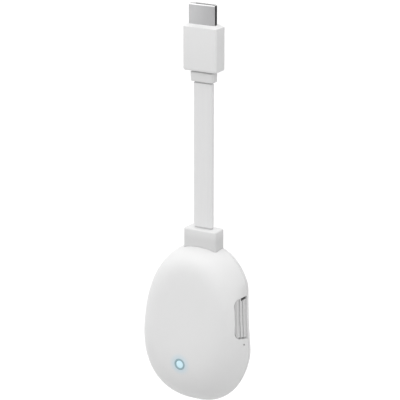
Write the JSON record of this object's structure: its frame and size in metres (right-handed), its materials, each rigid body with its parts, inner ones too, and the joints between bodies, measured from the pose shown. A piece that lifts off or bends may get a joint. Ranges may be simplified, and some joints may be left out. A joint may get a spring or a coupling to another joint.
{
  "type": "streaming media stick",
  "caption": "White egg-shaped media stick hanging by a flat cable from its display plug, with a side vent, a status light, a power socket and a reset key.",
  "frame": {"origin": "middle of the raised lip on the display plug's housing, the plane that meets the socket's rim", "axes": "+Z out of the plug into the display's socket, +X to the right seen from the front, the dome with the status light faces -Y"},
  "size_m": [0.0554, 0.0292, 0.1923],
  "materials": {
    "plug_metal": "satin",
    "gold_contact": "plated",
    "black_insulator": "moulded",
    "circuit_board": "solder mask",
    "cable_core": "smooth",
    "housing_white": "fine moulded grain",
    "collar_white": "smooth",
    "cable_white": "smooth",
    "shell_white": "fine moulded grain",
    "vent_grey": "moulded",
    "ring_grey": "satin",
    "light_lens": "translucent",
    "led_white": "lit",
    "connector_white": "moulded",
    "chip_black": "moulded",
    "thermal_pad": "soft",
    "shield_steel": "tinned",
    "spreader_metal": "stamped",
    "antenna_metal": "stamped",
    "ferrite": "sintered",
    "capacitor_tan": "fired",
    "screw_steel": "zinc plated",
    "socket_steel": "satin",
    "switch_plastic": "moulded",
    "key_white": "moulded"
  },
  "bodies": {
    "stick": {"plug_shell": "plug_metal", "plug_insulator": "black_insulator", "plug_contacts": "gold_contact", "plug_board": "circuit_board", "plug_core": "cable_core", "plug_housing": "housing_white", "plug_collar": "collar_white", "flat_cable": "cable_white", "cable_relief": "housing_white", "cable_leads": "cable_core", "front_shell": "shell_white", "rear_shell": "shell_white", "vent_grille": "vent_grey", "light_ring": "ring_grey", "light_pipe": "light_lens", "status_led": "led_white", "main_board": "circuit_board", "cable_header": "connector_white", "processor": "chip_black", "processor_pad": "thermal_pad", "shield_can": "shield_steel", "spreader_pad": "thermal_pad", "heat_spreader": "spreader_metal", "memory_chips": "chip_black", "radio_module": "shield_steel", "antennas": "antenna_metal", "power_inductor": "ferrite", "clock_crystal": "shield_steel", "capacitors": "capacitor_tan", "board_screws": "screw_steel", "usb_shell": "socket_steel", "usb_tongue": "black_insulator", "usb_contacts": "gold_contact", "reset_switch": "switch_plastic"},
    "reset_key": {"reset_plunger": "key_white"}
  },
  "joints": [
    {"name": "reset_press", "type": "slide", "parent": "stick", "child": "reset_key", "axis": [-1, 0, 0], "range_m": [0, 0.00025], "stiffness_N_per_m": 800}
  ]
}
